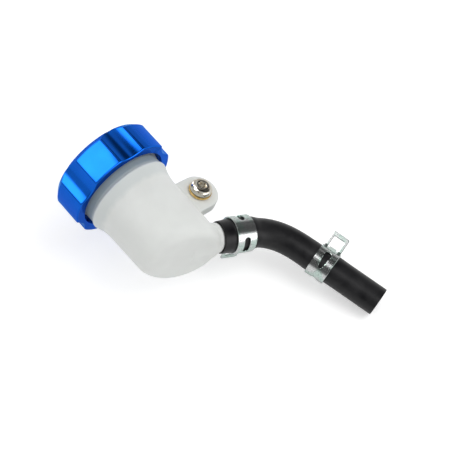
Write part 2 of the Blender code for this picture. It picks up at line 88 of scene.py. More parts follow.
# Reservoir body
NECK_RADIUS = 0.0184
NECK_BORE_RADIUS = 0.0160
NECK_ABOVE_EDGE = 0.0081
NECK_BELOW_EDGE = 0.0042
NECK_RIM_ROUNDING = 0.0006
NECK_FILLET = 0.0003
SHOULDER_EDGE = 0.0008
SHOULDER_INSET = 0.0019
SHOULDER_HEIGHT = 0.0095
SHOULDER_ROUNDING = 0.0005
BODY_TOP_RADIUS = 0.0171
BODY_TAPER = 0.0004
TAPER_END = 1.4  # of the depth at the axis, because the floor slants on down
BODY_WALL = 0.0018
BODY_DEPTH = 0.0406
BORE_ROUNDING = 0.0005
FLOOR_SLOPE = math.radians(19)
FLOOR_ROUNDING = 0.0045
EAR_REACH = 0.0270
EAR_DROP = 0.0186
EAR_RADIUS = 0.0084
EAR_THICKNESS = 0.0050
EAR_ROUNDING = 0.0006
EAR_HOLE_RADIUS = 0.0039
EAR_HOLE_ROUNDING = 0.0003
EAR_FILLET = 0.0010
BOSS_ROOT_RADIUS = 0.0070
BOSS_END_RADIUS = 0.0062
BOSS_LENGTH = 0.0070
BOSS_ROUNDING = 0.0005
BOSS_FILLET = 0.0016
NIPPLE_RADIUS = 0.0052
NIPPLE_LENGTH = 0.0140
NIPPLE_ROUNDING = 0.0008
NIPPLE_FILLET = 0.0003
NIPPLE_BORE_RADIUS = 0.0034
MOUTH = Vector((0.0195, 0, -0.0398))
OUTLET = Vector((math.cos(FLOOR_SLOPE), 0, -math.sin(FLOOR_SLOPE)))
BODY_LOW = (-0.0198, -0.0196, -0.0530)  # of the box that the moulding lies in
BODY_HIGH = (0.0364, 0.0200, 0.0090)
BODY_NET = (0.00042, 0.00042, 0.00042)

# Cap and what lies under it
CAP_BORE_RADIUS = 0.0193
CAP_RADIUS = 0.0240
CAP_HEIGHT = 0.0145
CAP_CEILING = 0.0120
CAP_LOWER_CHAMFER = 0.0004
CAP_SKIRT = 0.0008  # that the side goes on below the lower edge's plane
CAP_MOUTH_FLARE = 0.0008
CAP_MOUTH_HEIGHT = 0.0004
CAP_CONE_START = 0.0122
CAP_TOP_RADIUS = 0.0221
CONE_LEAST_HEIGHT = 0.0002  # over a flute
CONE_LEAST_DEPTH = 0.0001
CAP_ROUNDING = 0.00018
CAP_SECTOR_STEPS = 56
DISH_RIM_RADIUS = 0.0172
DISH_RADIUS = 0.0168
DISH_DEPTH = 0.0004
DIMPLE_RIM_RADIUS = 0.0030
DIMPLE_RADIUS = 0.0022
DIMPLE_SIDE_DEPTH = 0.0008
DIMPLE_DEPTH = 0.0010
LOBE_COUNT = 6
LOBE_SHARE = 0.53
LOBE_TURN = math.radians(232.1)
FLUTE_DEPTH = 0.0020
FLUTE_SOFTNESS = 0.05  # of a flute's depth, where it runs into a lobe
NECK_THREAD_START = 0.0012
CAP_THREAD_START = 0.0027
THREAD_PITCH = 0.0030
THREAD_SINK = 0.0001  # of a ridge's middle in its wall
THREAD_FADE = 1 / 12  # of a turn, at both ends of a ridge
DIAPHRAGM_THICKNESS = 0.0012
DIAPHRAGM_SEAT = NECK_ABOVE_EDGE + GAP
DIAPHRAGM_ROUNDING = 0.0004
FOLD_WIDTH = 0.0035
FOLD_DEPTH = 0.0085
FOLD_COUNT = 2
FOLD_STEPS = 10
PLATE_CLEARANCE = 0.0005
PLATE_HOLE_RADIUS = 0.0015
PLATE_RING_HEIGHT = 0.0015
PLATE_RING_WALL = 0.0012
PLATE_ROUNDING = 0.0002

# Ear's screw, counted from under its head towards the bracket
HEAD_RADIUS = 0.00475
HEAD_HEIGHT = 0.00275
HEAD_FLAT_RADIUS = 0.0023
HEAD_EDGE = 0.0002
DOME_SHARE = 0.8  # of the head's height
DOME_STEPS = 12
SOCKET_ACROSS_FLATS = 0.0034
SOCKET_DEPTH = 0.0016
SOCKET_POINT = 0.0003
# How much wider than its flats the socket is, and how far below the head's top
SOCKET_STEPS = (
    (-0.000136, SOCKET_DEPTH), (0.0, SOCKET_DEPTH - 0.0001), (0.0, 0.00012), (0.00016, 0.00002),
    (0.00036, 0.0),
)
SCREW_RADIUS = 0.0025
SCREW_LENGTH = 0.0160
SCREW_PITCH = 0.0008
SCREW_CORE_RADIUS = SCREW_RADIUS - 0.6134 * SCREW_PITCH + 0.00015  # a metric thread's, with a rounded root
SCREW_THROAT = (0.0002, 0.0003)  # how far the fillet under the head goes outwards and along
SCREW_END_CHAMFER = 0.0006
SHANK_LENGTH = 0.0044
SHANK_CHAMFER = 0.0005
SCREW_THREAD_START = 0.0052
SCREW_THREAD_LENGTH = SCREW_LENGTH - 0.0060
BUSH_RADIUS = 0.0036
BUSH_FLANGE_RADIUS = 0.0050
BUSH_FLANGE_THICKNESS = 0.0010
WASHER_RADIUS = 0.0050
WASHER_THICKNESS = 0.0010
RING_ROUNDING = 0.00015
NUT_ACROSS_FLATS = 0.0080
NUT_THICKNESS = 0.0047
NUT_MOUTH = 0.0004
NUT_FACE_SHARE = 0.97  # of the distance from the axis to a flat
NUT_CONE = math.radians(30)
NUT_CONE_STEPS = 8
BORE_ROUND_SCREW = SCREW_RADIUS + GAP
UNDER_HEAD = EAR_THICKNESS / 2 + BUSH_FLANGE_THICKNESS + 2 * GAP

# Hose: (x, z) of its middle line from the mouth
HOSE_ROUTE = (
    (0.0000, 0.0000), (0.0047, -0.0016), (0.0094, -0.0032), (0.0141, -0.0050), (0.0185, -0.0073),
    (0.0224, -0.0105), (0.0255, -0.0144), (0.0278, -0.0188), (0.0295, -0.0235), (0.0309, -0.0283),
    (0.0323, -0.0331), (0.0337, -0.0379), (0.0351, -0.0427), (0.0365, -0.0475), (0.0379, -0.0523),
    (0.0393, -0.0571), (0.0402, -0.0602),
)
HOSE_RADIUS = 0.00625
HOSE_WALL = 0.0020
HOSE_STRETCHED_WALL = 0.0014
HOSE_EASING = 0.0050
HOSE_EDGE = 0.0004
HOSE_SIDES = 72
HOSE_STEPS = 4
HOSE_SWELL = 0.00022  # where the rubber bulges beside a clamp
SWELL_FROM_BAND = 0.0012
SWELL_REACH = 0.0014

# Band clamps
BAND_WIDTH = 0.0089
BAND_THICKNESS = 0.0007
SLOT_LENGTH = 0.0075
LOOP_WIDTH = 0.0080
LOOP_HEIGHT = 0.0074
LOOP_LEG_WIDTH = 0.0015
LOOP_BAR_WIDTH = 0.0019
LOOP_BEND = 0.0009
LOOP_GAP = 0.0004
LOOP_WIDENING = 0.0012  # the length over which the strip passes from the loop's width to the band's
WINDOW_SILL = 0.0001
WINDOW_ROUNDING = 0.0004
TONGUE_WIDTH = 0.0032
TONGUE_HEIGHT = 0.0045
TONGUE_TURN = math.radians(65)
TONGUE_INSET = 0.0030  # that the narrow end's form starts inside the wide strip
TONGUE_ROUNDING = 0.0006
TONGUE_FILLET = 0.0004
STRIP_ROUNDING = 0.0009
STAMPED_EDGE = 0.00012
CLIMB_START = 0.0006  # before the wide strip ends
CLIMB_LENGTH = 0.0026
CLIMB_CLEARANCE = 0.00005
STRIP_NET = (0.00021, 0.00021, 0.00014)
STRIP_LOW_MARGIN = (0.0005, 0.0005, 0.0002)  # of the box that the flat strip lies in
STRIP_HIGH_MARGIN = (0.0006, 0.0006, 0.00031)
INNER_CLAMP_AT = 0.0098
INNER_LOOP_TURN = math.radians(263)
INNER_TIGHTNESS = 1.0
OUTER_CLAMP_AT = 0.0500
OUTER_LOOP_TURN = math.radians(44)
OUTER_TIGHTNESS = 0.35
# Each slot's turn from the loop along the strip, and its width at the near and at the far end
INNER_SLOTS = ((math.radians(140), 0.0026, 0.0026), (math.radians(255), 0.0026, 0.0026))
OUTER_SLOTS = ((math.radians(160), 0.0026, 0.0026), (math.radians(274), 0.0018, 0.0032))


# Node trees


class Nodes:
    """Writes a node tree one node at a time."""

    def __init__(self, tree):
        self.tree = tree

    def feed(self, socket, value):
        """Links another node's output to an input, or sets the input's own value."""
        if isinstance(value, bpy.types.NodeSocket):
            self.tree.links.new(value, socket)
        else:
            socket.default_value = value

    def add(self, kind, inputs=(), **settings):
        made = self.tree.nodes.new(kind)
        for name, value in settings.items():
            setattr(made, name, value)
        for name, value in dict(inputs).items():
            self.feed(made.inputs[name], value)
        return made

    def node(self, kind, inputs=(), **settings):
        return self.add("ShaderNode" + kind, inputs, **settings)

    def math(self, operation, first, second):
        return self.node("Math", {0: first, 1: second}, operation=operation).outputs[0]

    def dot(self, vector, direction):
        made = self.node("VectorMath", {0: vector, 1: tuple(direction)}, operation="DOT_PRODUCT")
        return made.outputs["Value"]

    def span(self, value, low, high, to_low, to_high):
        """Passes from to_low to to_high while the value passes from low to high, and stays between them."""
        inputs = {"Value": value, "From Min": low, "From Max": high, "To Min": to_low, "To Max": to_high}
        return self.node("MapRange", inputs).outputs["Result"]

    def blend(self, share, first, second):
        """A colour between two. The numbers are the colour sockets among those of the node's other types."""
        return self.node("Mix", {0: share, 6: first, 7: second}, data_type="RGBA").outputs[2]


class Finish(Nodes):
    """A procedural material round its Principled shader."""

    def __init__(self, name, metallic=0.0):
        self.made = bpy.data.materials.new(name)
        self.made.use_nodes = True
        super().__init__(self.made.node_tree)
        self.shader = self.tree.nodes["Principled BSDF"]
        self.put("Metallic", metallic)
        self.place = self.node("TexCoord").outputs["Object"]

    def put(self, name, value):
        """Feeds one of the shader's inputs."""
        self.feed(self.shader.inputs[name], value)

    def noise(self, scale, detail=3.0, vector=None, roughness=0.5):
        inputs = {
            "Vector": vector or self.place, "Scale": scale, "Detail": detail, "Roughness": roughness
        }
        return self.node("TexNoise", inputs).outputs["Fac"]

    def mottled(self, pattern, low, high, first, second):
        """A base colour that passes from the first to the second as the pattern passes from low to high."""
        self.put("Base Color", self.blend(self.span(pattern, low, high, 0.0, 1.0), first, second))

    def polished(self, pattern, smooth, rough):
        """A roughness that follows most of a pattern's range."""
        self.put("Roughness", self.span(pattern, 0.3, 0.7, smooth, rough))

    def bump(self, height, distance, strength=0.5):
        made = self.node("Bump", {"Height": height, "Distance": distance, "Strength": strength})
        self.put("Normal", made.outputs["Normal"])

    def cleared(self, share):
        """Lets light straight through by this share."""
        clear = self.node("BsdfTransparent").outputs[0]
        mixed = self.node("MixShader", {0: share, 1: self.shader.outputs[0], 2: clear}).outputs[0]
        self.feed(self.tree.nodes["Material Output"].inputs["Surface"], mixed)

    def from_axis(self, centre, towards):
        """Distance from an axis through centre, and height along it."""
        away = self.node("VectorMath", {0: self.place, 1: centre}, operation="SUBTRACT").outputs[0]
        height = self.dot(away, towards)
        straight = self.node("VectorMath", {0: towards, "Scale": height}, operation="SCALE").outputs[0]
        flat = self.node("VectorMath", {0: away, 1: straight}, operation="SUBTRACT").outputs[0]
        radius = self.node("VectorMath", {0: flat}, operation="LENGTH").outputs["Value"]
        return radius, height

    def turning_marks(self, centre, towards, fineness, depth):
        """Fine rings left by the lathe: they change along the axis and with the distance from it."""
        radius, height = self.from_axis(centre, towards)
        vector = self.node("CombineXYZ", {"X": radius, "Y": height}).outputs[0]
        rings = self.noise(fineness, 2.0, vector)
        self.bump(rings, depth)
        return rings


# Finishes


def blue_anodised():
    finish = Finish("blue_anodised", metallic=1.0)
    deep, bright = (0.0005, 0.106, 0.61, 1.0), (0.0015, 0.132, 0.71, 1.0)
    finish.mottled(finish.noise(90.0), 0.3, 0.7, deep, bright)
    rings = finish.turning_marks(ROW, (0.0, 0.0, 1.0), 9000.0, 0.000003)
    finish.polished(rings, 0.11, 0.20)
    finish.put("Specular Tint", (0.08, 0.55, 0.95, 1.0))
    finish.put("Coat Weight", 0.16)
    finish.put("Coat Roughness", 0.10)
    return finish.made


def milky_plastic():
    """Milky and a little see-through, and it casts a light shadow. Its colour holds painted shade: the body
    greys from partway down the shoulder upwards, and the neck darkens under the cap, standing in for the
    cap's shadow and for the dark cap and bellows behind the wall. Its heights are counted from the cap's
    lower edge."""
    finish = Finish("milky_plastic")
    cloud = finish.noise(85.0, 4.0)
    pale, grey = (0.745, 0.765, 0.745, 1.0), (0.70, 0.715, 0.695, 1.0)
    # dim and dark are painted shade colours: dim greys the upper body, dark darkens the neck under the cap
    dim, dark = (0.56, 0.60, 0.60, 1.0), (0.235, 0.29, 0.31, 1.0)
    height = finish.math("SUBTRACT", finish.dot(finish.place, (0.0, 0.0, 1.0)), ROW.z)
    wander = finish.span(finish.noise(260.0), 0.0, 1.0, -0.0012, 0.0012)
    ragged_height = finish.math("ADD", height, wander)
    # Painted shade: the neck darkens between the shoulder and the cap's lower edge, where the cap shades it,
    # and fades out inside the cap
    cap_shade_rise = finish.span(height, -0.0050, -0.0028, 0.0, 0.9)
    cap_shade_fade = finish.span(height, -0.0006, 0.0014, 1.0, 0.15)
    # Painted shade: the body greys from partway down the shoulder upwards, towards the cap, with a ragged
    # lower edge
    shoulder_shade = finish.span(ragged_height, -0.0108, -0.0085, 0.0, 0.6)
    plain = finish.blend(finish.span(cloud, 0.3, 0.7, 0.0, 1.0), grey, pale)
    shaded = finish.blend(shoulder_shade, plain, dim)
    cap_shade_share = finish.math("MULTIPLY", cap_shade_rise, cap_shade_fade)
    finish.put("Base Color", finish.blend(cap_shade_share, shaded, dark))
    finish.put("Subsurface Weight", 0.5)
    finish.put("Subsurface Radius", (1.0, 1.0, 0.95))
    finish.put("Subsurface Scale", 0.003)
    finish.put("Specular IOR Level", 0.3)
    finish.bump(finish.noise(900.0, 2.0), 0.00003)
    finish.polished(cloud, 0.38, 0.50)
    finish.cleared(finish.math("MULTIPLY", finish.node("LightPath").outputs["Is Shadow Ray"], 0.72))
    return finish.made


def black_rubber():
    """Extruded rubber: faint lengthwise streaks and a dusty bloom. Its UV is round the hose and along it."""
    finish = Finish("black_rubber")
    uv = finish.node("TexCoord").outputs["UV"]
    stretched = finish.node("Mapping", {"Vector": uv, "Scale": (60.0, 60.0, 1.0)}).outputs[0]
    streaks = finish.noise(1.0, 3.0, stretched)
    bloom = finish.noise(160.0, 4.0)
    pale, dark = (0.015, 0.015, 0.016, 1.0), (0.005, 0.005, 0.006, 1.0)
    finish.mottled(bloom, 0.35, 0.75, dark, pale)
    finish.put("Specular IOR Level", 0.3)
    grain = finish.math("MULTIPLY", finish.noise(2600.0), 0.5)
    finish.bump(finish.math("ADD", grain, streaks), 0.00003, 0.6)
    finish.polished(bloom, 0.30, 0.44)
    return finish.made


def bellows_rubber():
    finish = Finish("bellows_rubber")
    bloom = finish.noise(220.0, 4.0)
    pale, dark = (0.050, 0.050, 0.049, 1.0), (0.022, 0.022, 0.022, 1.0)
    finish.mottled(bloom, 0.0, 1.0, dark, pale)
    finish.bump(finish.noise(3000.0, 2.0), 0.00003)
    finish.polished(bloom, 0.52, 0.68)
    return finish.made


def white_plastic():
    finish = Finish("white_plastic")
    cloud = finish.noise(120.0)
    pale, grey = (0.76, 0.76, 0.74, 1.0), (0.68, 0.68, 0.66, 1.0)
    finish.mottled(cloud, 0.0, 1.0, grey, pale)
    finish.bump(finish.noise(1800.0, 2.0), 0.00002)
    finish.polished(cloud, 0.38, 0.52)
    return finish.made


def zinc_plate():
    """Zinc on spring steel: bluish green patches, small crystals that catch the light, and dull specks."""
    finish = Finish("zinc_plate", metallic=1.0)
    green, grey, dull = (0.57, 0.69, 0.64, 1.0), (0.70, 0.71, 0.71, 1.0), (0.10, 0.13, 0.12, 1.0)
    patches = finish.span(finish.noise(260.0), 0.42, 0.58, 0.0, 1.0)
    specks = finish.noise(2400.0, 4.0, roughness=0.7)
    dull_share = finish.span(specks, 0.52, 0.66, 0.0, 0.85)
    finish.put("Base Color", finish.blend(dull_share, finish.blend(patches, grey, green), dull))
    finish.polished(specks, 0.10, 0.30)
    finish.bump(specks, 0.00003)
    return finish.made


def bright_steel():
    finish = Finish("bright_steel", metallic=1.0)
    smear = finish.noise(900.0)
    warm, cold = (0.58, 0.52, 0.42, 1.0), (0.72, 0.70, 0.64, 1.0)
    finish.mottled(smear, 0.35, 0.65, warm, cold)
    finish.polished(smear, 0.07, 0.15)
    finish.bump(finish.noise(1500.0, 2.0), 0.00003)
    return finish.made


def brass():
    finish = Finish("brass", metallic=1.0)
    warm, brown = (0.86, 0.60, 0.24, 1.0), (0.62, 0.40, 0.13, 1.0)
    finish.mottled(finish.noise(700.0), 0.45, 0.75, warm, brown)
    centre = ROW + Vector((EAR_REACH, 0, -EAR_DROP))
    rings = finish.turning_marks(centre, (0.0, 1.0, 0.0), 16000.0, 0.000006)
    finish.polished(rings, 0.22, 0.34)
    return finish.made


FINISHES = {
    finish.__name__: finish()
    for finish in (
        blue_anodised, milky_plastic, black_rubber, bellows_rubber, white_plastic, zinc_plate, bright_steel,
        brass,
    )
}


# Making and placing pieces


def object_of(name, mesh):
    made = bpy.data.objects.new(name, mesh)
    bpy.context.scene.collection.objects.link(made)
    return made


def baked(obj):
    """An object with the plain mesh that the given one's modifiers make, in its place."""
    bpy.context.view_layer.update()
    graph = bpy.context.evaluated_depsgraph_get()
    mesh = bpy.data.meshes.new_from_object(obj.evaluated_get(graph), depsgraph=graph)
    name = obj.name
    bpy.data.objects.remove(obj, do_unlink=True)
    return object_of(name, mesh)


def put_on(obj, body, slot, node=None, place=None):
    """Moves a piece's mesh from its own frame into the row frame, and lets it ride on its body."""
    obj.data.transform(Matrix.Translation(ROW) @ (place or Matrix.Identity(4)))
    obj.data.materials.clear()
    obj.data.materials.append(FINISHES[slot])
    obj.data.shade_smooth()
    obj.data.set_sharp_from_angle(angle=SHARP)
    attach(obj, body)
    if node:
        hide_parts(node)
    return obj


def turned_outwards(mesh):
    """Makes a closed mesh's faces point outwards."""
    bm = bmesh.new()
    bm.from_mesh(mesh)
    bmesh.ops.recalc_face_normals(bm, faces=bm.faces)
    bm.to_mesh(mesh)
    bm.free()


def skinned(name, rings, closed):
    """A skin over rings of points, the last of which joins the first when closed. A ring of one point is a
    pole."""
    bm = bmesh.new()
    made = [[bm.verts.new(point) for point in points] for points in rings]
    pairs = list(zip(made, made[1:]))
    if closed:
        pairs.append((made[-1], made[0]))
    for first, second in pairs:
        count = max(len(first), len(second))
        for i in range(count):
            j = (i + 1) % count
            near = [first[i % len(first)], first[j % len(first)]]
            far = [second[j % len(second)], second[i % len(second)]]
            bm.faces.new(list(dict.fromkeys(near + far)))
    bmesh.ops.recalc_face_normals(bm, faces=bm.faces)
    mesh = bpy.data.meshes.new(name)
    bm.to_mesh(mesh)
    bm.free()
    return object_of(name, mesh)


def around(radius, height):
    if radius == 0:
        return [(0.0, 0.0, height)]
    angles = [math.tau * i / FINE_SEGMENTS for i in range(FINE_SEGMENTS)]
    return [(radius * math.cos(a), radius * math.sin(a), height) for a in angles]


def turned(name, profile, closed=True):
    return skinned(name, [around(r, z) for r, z in profile], closed)


def softened(points, radius, closed=True, steps=4):
    """A profile with its corners rounded by about this radius."""
    made = []
    count = len(points)
    for i, corner in enumerate(points):
        if not closed and i in (0, count - 1):
            made.append(corner)
            continue
        before, here, after = (Vector(points[k % count]) for k in (i - 1, i, i + 1))
        sides = [before - here, after - here]
        start, end = (here + side.normalized() * min(radius, side.length * CORNER_SHARE) for side in sides)
        for step in range(steps + 1):
            t = step / steps
            made.append(tuple(start * (1 - t) ** 2 + here * 2 * t * (1 - t) + end * t**2))
    return made


def arc(centre, radius, start, end, steps):
    angles = [start + (end - start) * i / steps for i in range(steps + 1)]
    return [(centre[0] + radius * math.cos(a), centre[1] + radius * math.sin(a)) for a in angles]


def eased(start, end, share):
    """Passes from start to end with a soft beginning and end."""
    share = min(max(share, 0.0), 1.0)
    return start + (end - start) * share * share * (3 - 2 * share)


# Geometry Nodes trees for what repeats


def new_tree(name, **inputs):
    """What writes the nodes of a tree with these named inputs, and what the tree is given through them."""
    tree = bpy.data.node_groups.new(name, "GeometryNodeTree")
    for label, kind in inputs.items():
        tree.interface.new_socket(label, in_out="INPUT", socket_type="NodeSocket" + kind)
    tree.interface.new_socket("Geometry", in_out="OUTPUT", socket_type="NodeSocketGeometry")
    make = Nodes(tree)
    return make, make.add("NodeGroupInput").outputs


def finished_tree(make, geometry, material):
    realised = make.add("GeometryNodeRealizeInstances", {"Geometry": geometry}).outputs[0]
    merged = make.add("GeometryNodeMergeByDistance", {"Geometry": realised, "Distance": WELD}).outputs[0]
    dressed = make.add("GeometryNodeSetMaterial", {"Geometry": merged, "Material": material}).outputs[0]
    make.add("NodeGroupOutput", {"Geometry": dressed})
    return make.tree


def repeat_round_axis():
    """Copies one sector round Z and joins the copies."""
    make, given = new_tree("repeat_round_axis", Sector="Geometry", Count="Int", Finish="Material")
    points = make.add("GeometryNodePoints", {"Count": given["Count"]}).outputs[0]
    index = make.add("GeometryNodeInputIndex").outputs[0]
    turns = make.math("DIVIDE", index, given["Count"])
    turn = make.node("CombineXYZ", {"Z": make.math("MULTIPLY", turns, math.tau)}).outputs[0]
    links = {"Points": points, "Instance": given["Sector"], "Rotation": turn}
    placed = make.add("GeometryNodeInstanceOnPoints", links).outputs[0]
    return finished_tree(make, placed, given["Finish"])


def thread_ridge():
    """A ridge along a helix that fades out at both ends."""
    make, given = new_tree(
        "thread_ridge", Radius="Float", Pitch="Float", Turns="Float", Crest="Float", Sides="Int", Steps="Int",
        Finish="Material",
    )
    helix = make.add("GeometryNodeCurveSpiral", {
        "Resolution": given["Steps"], "Rotations": given["Turns"], "Start Radius": given["Radius"],
        "End Radius": given["Radius"], "Height": make.math("MULTIPLY", given["Pitch"], given["Turns"]),
    }).outputs[0]
    upright = make.add("GeometryNodeSetCurveNormal", {"Curve": helix}, mode="Z_UP").outputs[0]
    share = make.add("GeometryNodeSplineParameter").outputs["Factor"]
    nearer = make.math("MINIMUM", share, make.math("SUBTRACT", 1.0, share))
    turns_left = make.math("MULTIPLY", nearer, given["Turns"])
    swelling = make.math("MINIMUM", make.math("DIVIDE", turns_left, THREAD_FADE), 1.0)
    sized = make.add("GeometryNodeSetCurveRadius", {"Curve": upright, "Radius": swelling}).outputs[0]
    circle = {"Resolution": given["Sides"], "Radius": given["Crest"]}
    profile = make.add("GeometryNodeCurvePrimitiveCircle", circle).outputs[0]
    sweep = {"Curve": sized, "Profile Curve": profile, "Fill Caps": True}
    return finished_tree(make, make.add("GeometryNodeCurveToMesh", sweep).outputs[0], given["Finish"])


def grown(name, tree, values, mesh=None):
    """An object with the mesh that a tree makes from these values for its named inputs."""
    obj = object_of(name, mesh or bpy.data.meshes.new(name))
    step = obj.modifiers.new(tree.name, "NODES")
    step.node_group = tree
    for item in tree.interface.items_tree:
        if item.in_out == "INPUT" and item.name in values:
            step[item.identifier] = values[item.name]
    return baked(obj)


ROUND_REPEAT = repeat_round_axis()
THREAD = thread_ridge()


def make_thread(name, body, slot, place, **sizes):
    """Puts on a ridge, whose sizes are named as the thread tree's inputs are."""
    values = {label.capitalize(): size for label, size in sizes.items()}
    put_on(grown(name, THREAD, {**values, "Finish": FINISHES[slot]}), body, slot, place=place)


def raised(height):
    return Matrix.Translation((0, 0, height))


# Forms as signed distances, with a moulding's roundings where shapes meet


def join(first, second, radius):
    """Both shapes, with a hollow rounding of this radius between them."""
    rounding = np.hypot(np.maximum(radius - first, 0), np.maximum(radius - second, 0))
    return np.maximum(radius, np.minimum(first, second)) - rounding


def meet(first, second, radius):
    """What the shapes share, with its edges rounded."""
    return -join(-first, -second, radius)


def net_over(form, low, high, pitch):
    """Points on a form's surface and the quads between them, from a grid of its signed distance."""
    axes = [np.arange(*limits) for limits in zip(low, high, pitch)]
    values = form(*np.meshgrid(*axes, indexing="ij"))
    solid = values < 0
    cells = tuple(n - 1 for n in solid.shape)
    corners = list(itertools.product((0, 1), repeat=3))
    count = np.zeros(cells, int)
    for a, b, c in corners:
        count += solid[a : a + cells[0], b : b + cells[1], c : c + cells[2]]
    mixed = (count > 0) & (count < len(corners))
    cell = np.argwhere(mixed)
    number = np.full(cells, -1)
    number[mixed] = np.arange(len(cell))
    total = np.zeros((len(cell), 3))
    hits = np.zeros(len(cell))
    for first, second in itertools.combinations(corners, 2):
        if sum(a != b for a, b in zip(first, second)) != 1:
            continue
        start = values[tuple((cell + first).T)]
        end = values[tuple((cell + second).T)]
        crossed = (start < 0) != (end < 0)
        share = np.where(crossed, start / np.where(crossed, start - end, 1), 0)
        spot = np.array(first) + share[:, None] * (np.array(second) - np.array(first))
        total += spot * crossed[:, None]
        hits += crossed
    points = np.array(low) + (cell + total / hits[:, None]) * np.array(pitch)
    quads = []
    for axis in range(3):
        grid = np.moveaxis(solid, axis, 0)
        cell_number = np.moveaxis(number, axis, 0)
        i, j, k = np.nonzero(grid[:-1, 1:-1, 1:-1] != grid[1:, 1:-1, 1:-1])
        ring = [cell_number[i, j + a, k + b] for a, b in ((0, 0), (1, 0), (1, 1), (0, 1))]
        quads.append(np.stack(ring, axis=1))
    return points, np.concatenate(quads)


def drawn_to(form, points, rounds=3, step=1e-5, gentlest=0.25):
    """Moves points onto a form's surface, along its slope. Slopes gentler than the gentlest count as that."""
    for _ in range(rounds):
        value = form(*points.T)
        slope = np.stack([
            (form(*(points + shift).T) - form(*(points - shift).T)) / (2 * step) for shift in np.eye(3) * step
        ], axis=1)
        steepness = np.maximum((slope**2).sum(axis=1), gentlest)
        points = points - slope * (value / steepness)[:, None]
    return points


def formed(name, form, low, high, pitch):
    """An object with the surface of a form, which lies between the low and the high corner."""
    points, quads = net_over(form, low, high, pitch)
    points = drawn_to(form, points)
    mesh = bpy.data.meshes.new(name)
    mesh.from_pydata(points.tolist(), [], quads.tolist())
    turned_outwards(mesh)
    return object_of(name, mesh)


# Reservoir body


def body_form(x, y, z):
    from_axis = np.hypot(x, y)
    rim = -NECK_BELOW_EDGE - SHOULDER_EDGE
    wall_top = -NECK_BELOW_EDGE - SHOULDER_HEIGHT
    flare = np.clip((rim - z) / (rim - wall_top), 0, 1)
    taper = BODY_TAPER * np.clip((wall_top - z) / (BODY_DEPTH + wall_top), 0, TAPER_END)
    outside = BODY_TOP_RADIUS + SHOULDER_INSET * (1 - flare) ** 2 - taper
    inside = NECK_BORE_RADIUS + (BODY_TOP_RADIUS - BODY_WALL - NECK_BORE_RADIUS) * flare - taper
    neck = np.maximum(from_axis - NECK_RADIUS, rim - z)
    lower = meet(from_axis - outside, z + NECK_BELOW_EDGE, SHOULDER_ROUNDING)
    floor = (-BODY_DEPTH - math.tan(FLOOR_SLOPE) * x - z) * math.cos(FLOOR_SLOPE)
    form = meet(join(neck, lower, NECK_FILLET), floor, FLOOR_ROUNDING)

    end = np.hypot(np.maximum(x - EAR_REACH, 0), z + EAR_DROP) - EAR_RADIUS
    ear = meet(end, np.abs(y) - EAR_THICKNESS / 2, EAR_ROUNDING)
    form = join(form, np.maximum(ear, BODY_TOP_RADIUS - BODY_WALL - x), EAR_FILLET)

    along = (x - MOUTH.x) * OUTLET.x + (z - MOUTH.z) * OUTLET.z
    off = np.hypot((x - MOUTH.x) * OUTLET.z - (z - MOUTH.z) * OUTLET.x, y)
    boss_radius = BOSS_END_RADIUS + (BOSS_ROOT_RADIUS - BOSS_END_RADIUS) * np.clip(-along / BOSS_LENGTH, 0, 1)
    boss = meet(off - boss_radius, along + GAP, BOSS_ROUNDING)
    form = join(form, np.maximum(boss, -along - 2 * BOSS_LENGTH), BOSS_FILLET)
    nipple = meet(off - NIPPLE_RADIUS, along - NIPPLE_LENGTH, NIPPLE_ROUNDING)
    form = join(form, np.maximum(nipple, -along - BOSS_LENGTH), NIPPLE_FILLET)

    form = meet(form, z - NECK_ABOVE_EDGE, NECK_RIM_ROUNDING)
    chamber = meet(from_axis - inside, floor + BODY_WALL, FLOOR_ROUNDING - BODY_WALL)
    bore = np.maximum(off - NIPPLE_BORE_RADIUS, -along - 2 * BOSS_LENGTH)
    form = meet(form, -np.minimum(chamber, bore), BORE_ROUNDING)
    hole = np.hypot(x - EAR_REACH, z + EAR_DROP) - EAR_HOLE_RADIUS
    return meet(form, -hole, EAR_HOLE_ROUNDING)


def make_body():
    body = formed("reservoir_moulding", body_form, BODY_LOW, BODY_HIGH, BODY_NET)
    put_on(body, "reservoir", "milky_plastic", "reservoir_body")
    make_thread(
        "neck_thread", "reservoir", "milky_plastic", raised(NECK_THREAD_START),
        radius=NECK_RADIUS - THREAD_SINK, pitch=THREAD_PITCH, turns=1.9, crest=0.0007, sides=10, steps=96,
    )


# Cap


def lobed_radius(share):
    """The side's distance from the axis, where share runs from the middle of one lobe to that of the next."""
    across = (share - 0.5) / ((1 - LOBE_SHARE) / 2)
    rise = 1 - across * across
    return CAP_RADIUS - FLUTE_DEPTH * (rise + math.hypot(rise, FLUTE_SOFTNESS)) / 2


def cap_section(share):
    """The cap's section at that share of a lobe's pitch: from the middle of its ceiling down the bore, round
    the outside and over the dished top to its middle."""
    side = lobed_radius(share)
    slant = (CAP_HEIGHT - CAP_CONE_START) / (CAP_RADIUS - CAP_TOP_RADIUS)
    meets = min(CAP_CONE_START + (CAP_RADIUS - side) * slant, CAP_HEIGHT - CONE_LEAST_HEIGHT)
    top = min(side - CONE_LEAST_DEPTH, CAP_TOP_RADIUS)
    bore = [(0.0, CAP_CEILING), (CAP_BORE_RADIUS, CAP_CEILING), (CAP_BORE_RADIUS, CAP_MOUTH_HEIGHT)]
    outside = [
        (CAP_BORE_RADIUS + CAP_MOUTH_FLARE, -CAP_SKIRT), (side - CAP_LOWER_CHAMFER, -CAP_SKIRT),
        (side, CAP_LOWER_CHAMFER - CAP_SKIRT), (side, meets), (top, CAP_HEIGHT),
        (DISH_RIM_RADIUS, CAP_HEIGHT),
    ]
    dished = [
        (DISH_RADIUS, CAP_HEIGHT - DISH_DEPTH), (DIMPLE_RIM_RADIUS, CAP_HEIGHT - DISH_DEPTH),
        (DIMPLE_RADIUS, CAP_HEIGHT - DIMPLE_SIDE_DEPTH), (0.0, CAP_HEIGHT - DIMPLE_DEPTH),
    ]
    return bore + softened(outside, CAP_ROUNDING, closed=False) + dished


